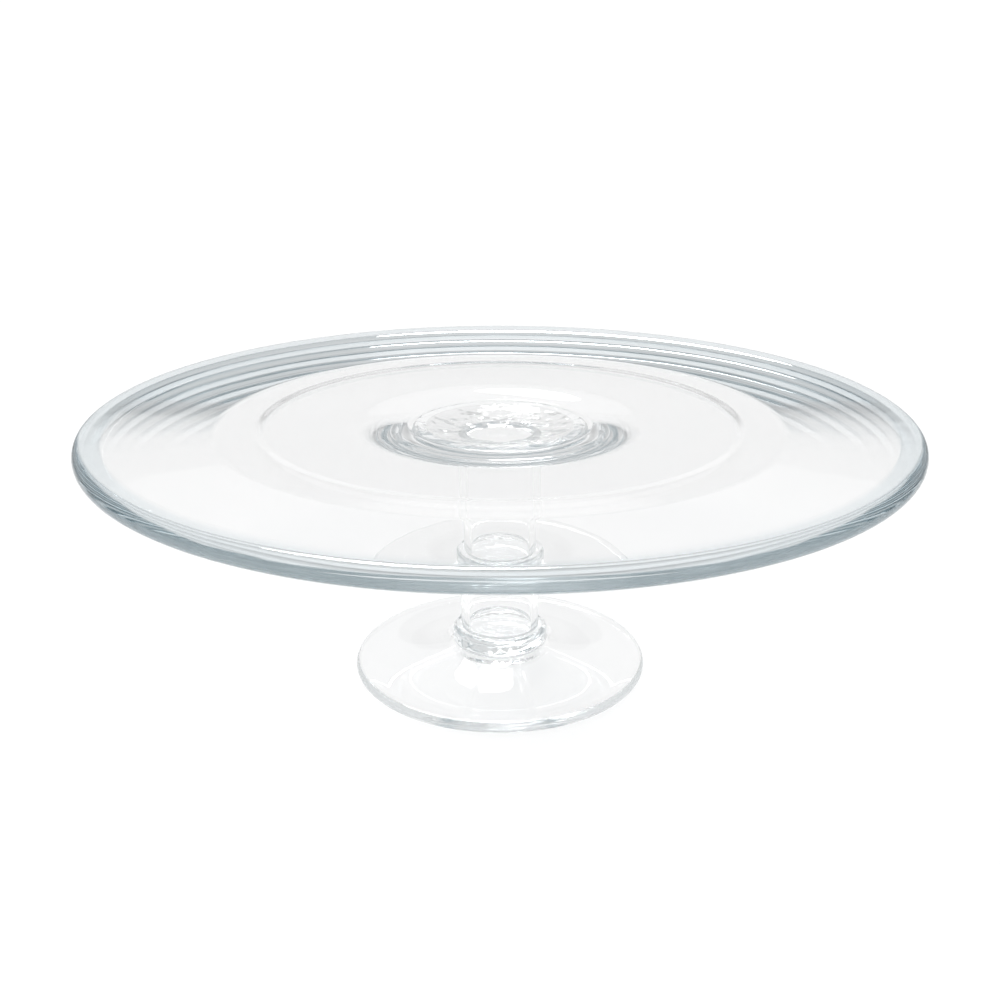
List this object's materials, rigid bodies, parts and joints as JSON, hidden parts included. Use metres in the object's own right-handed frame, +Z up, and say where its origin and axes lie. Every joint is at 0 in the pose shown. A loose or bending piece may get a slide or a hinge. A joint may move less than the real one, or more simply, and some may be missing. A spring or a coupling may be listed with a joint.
{
  "type": "cake stand",
  "caption": "Low round glass cake stand: flat plate that rises gently to a thick rounded rim, joined to a short hollow stem and a round foot.",
  "frame": {"origin": "middle of the foot, on the surface that the stand rests on", "axes": "+Z up along the stem; the stand is round, so +X and +Y are equivalent"},
  "size_m": [0.32, 0.32, 0.1105],
  "materials": {
    "clear_glass": "clear blown glass, fire polished, slightly wavy",
    "rim_glass": "thick clear glass that reads blue-grey, fire polished",
    "joint_glass": "thick clear glass with fine ripples and small bubbles"
  },
  "bodies": {
    "root": {"plate": "clear_glass", "rim_bead": "rim_glass", "upper_joint": "joint_glass", "stem": "clear_glass", "lower_joint": "joint_glass", "foot": "clear_glass"}
  },
  "joints": []
}
